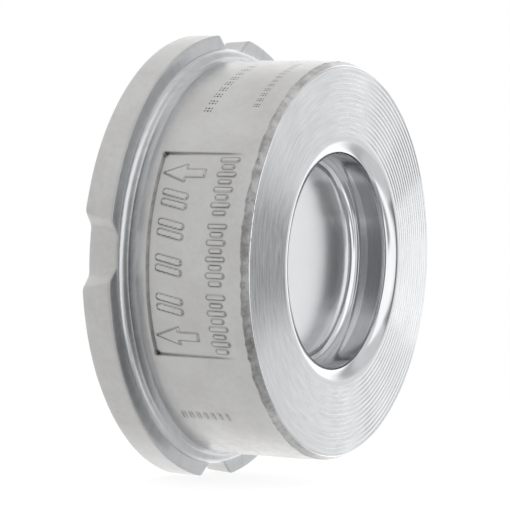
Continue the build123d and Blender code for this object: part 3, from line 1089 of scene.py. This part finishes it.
# The studio as soft patches on its walls, each laid over the ones before it: centre and half
# width round the horizon from +X towards +Y, centre and half height above it, softness of the
# edge, all in degrees, and brightness.
# In order: the ceiling, the wall beyond the object, the floor in front, the panel that the inlet
# face mirrors, dim cards above and below it, the bright soft box, the front soft box, a dim place
# low in it, and the dark room behind the camera.
WALLS = 0.80
PATCHES = [
    (0, 200, 90, 50, 18, 0.88),
    (135, 50, -5, 45, 10, 1.2),
    (-45, 60, -65, 30, 10, 0.45),
    (66, 12, 0, 60, 4, 0.95),
    (61, 7, 42, 26, 4, 0.55),
    (61, 7, -42, 26, 4, 0.6),
    (95, 24, 0, 40, 8, 1.55),
    (-12, 40, 0, 40, 4, 1.42),
    (-3, 14, -23, 15, 4, 0.5),
    (-65, 15, 0, 70, 4, 0.26),
]
# Dark card between the soft boxes, a wedge whose point is the mirror image of the camera in the
# inlet face: the turned grooves spread it into a dark fan on the face's near side.
CARD = (42, 15, 2)
CARD_POINT_Y = 0.88
CARD_SLOPE = 0.6
CARD_LEVEL = 0.24
CARD_SOFT = 0.012


def make_world():
    """White studio of soft patches and a dark card; the camera itself sees plain white."""
    world = bpy.data.worlds.new("studio")
    bpy.context.scene.world = world
    world.use_nodes = True
    tree = world.node_tree
    tree.nodes.clear()
    direction = add(tree, "ShaderNodeTexCoord").outputs["Generated"]
    axes = add(tree, "ShaderNodeSeparateXYZ", {0: direction}).outputs
    azimuth = math_node(tree, "ARCTAN2", axes[1], axes[0])
    elevation = math_node(tree, "ARCSINE", axes[2])
    level = WALLS
    for patch in PATCHES:
        round_centre, half_width, up_centre, half_height, soft, brightness = patch
        across = patch_share(tree, azimuth, round_centre, half_width, soft)
        upward = patch_share(tree, elevation, up_centre, half_height, soft)
        level = blend_value(tree, math_node(tree, "MULTIPLY", across, upward), level, brightness)
    level = blend_value(tree, card_share(tree, azimuth, axes), level, CARD_LEVEL)
    seen = add(tree, "ShaderNodeLightPath").outputs["Is Camera Ray"]
    strength = blend_value(tree, seen, level, 1.0)
    background = add(tree, "ShaderNodeBackground", {"Color": grey(1.0), "Strength": strength})
    output = add(tree, "ShaderNodeOutputWorld")
    tree.links.new(background.outputs[0], output.inputs["Surface"])


def card_share(tree, azimuth, axes):
    """Share from 0 to 1 of the wedge of dark card."""
    width = math_node(tree, "MULTIPLY_ADD", axes[1], -CARD_SLOPE, CARD_SLOPE * CARD_POINT_Y)
    over = math_node(tree, "SUBTRACT", math_node(tree, "ABSOLUTE", axes[2]), width)
    wedge = ramp(tree, over, -CARD_SOFT, CARD_SOFT, 1.0, 0.0)
    return math_node(tree, "MULTIPLY", wedge, patch_share(tree, azimuth, *CARD))


def patch_share(tree, angle, centre, half, soft):
    """Share from 0 to 1 of a patch at an angle, with soft edges; sizes in degrees."""
    away = math_node(tree, "ABSOLUTE", math_node(tree, "SUBTRACT", angle, math.radians(centre)))
    return ramp(tree, away, math.radians(half - soft), math.radians(half + soft), 1.0, 0.0)


FLOOR_RADIUS_M = 0.5
FLOOR_GLOW = 0.84


def make_floor():
    """Plain white floor under the flange, which doesn't show in the metal's reflections."""
    floor_z = cad_box[0][2]
    edge = [(FLOOR_RADIUS_M * math.cos(a), FLOOR_RADIUS_M * math.sin(a), floor_z) for a in even(96)]
    mesh = bpy.data.meshes.new("floor")
    mesh.from_pydata(edge, [], [list(range(len(edge)))])
    material, shader = new_material("white_floor")
    shader.inputs["Base Color"].default_value = grey(0.2)
    shader.inputs["Roughness"].default_value = 0.9
    shader.inputs["Emission Color"].default_value = grey(1.0)
    shader.inputs["Emission Strength"].default_value = FLOOR_GLOW
    mesh.materials.append(material)
    piece = bpy.data.objects.new("floor", mesh)
    piece.visible_glossy = False
    bpy.context.scene.collection.objects.link(piece)
    piece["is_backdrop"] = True


def make_camera():
    """Camera at the reference viewing angle, aimed at the origin."""
    data = bpy.data.cameras.new("camera")
    data.lens = LENS_MM
    data.sensor_width = SENSOR_MM
    data.shift_x, data.shift_y = SHIFT
    data.clip_end = 20.0
    azimuth = math.radians(CAMERA_AZIMUTH)
    elevation = math.radians(CAMERA_ELEVATION)
    roll = math.radians(CAMERA_ROLL)
    outward = Vector((math.sin(azimuth), -math.cos(azimuth), 0))
    back = outward * math.cos(elevation) + Vector((0, 0, math.sin(elevation)))
    level = Vector((math.cos(azimuth), math.sin(azimuth), 0))
    right = level * math.cos(roll) + back.cross(level) * math.sin(roll)
    axes = Matrix((right, back.cross(right), back)).transposed().to_4x4()
    camera = bpy.data.objects.new("camera", data)
    camera.matrix_world = Matrix.Translation(back * CAMERA_DISTANCE_M) @ axes
    bpy.context.scene.collection.objects.link(camera)
    bpy.context.scene.camera = camera


make_camera()
make_world()
make_floor()
# plain display transform, so that the white backdrop stays white
bpy.context.scene.view_settings.view_transform = "Standard"
make_body()
make_disc()
make_spring()
tumbled = plain_steel("tumbled_steel", level=0.6, rough=0.32, grain=0.2, scale=700.0)
satin = plain_steel("satin_steel", level=0.5, rough=0.36, grain=0.2, scale=900.0)
soften_cad("spring_retainer", tumbled, width=0.25)
soften_cad("retaining_ring", satin, width=0.12)

boxes = {"cad": cad_box, "visual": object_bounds()}
{name: [list(corner) for corner in box] for name, box in boxes.items()}
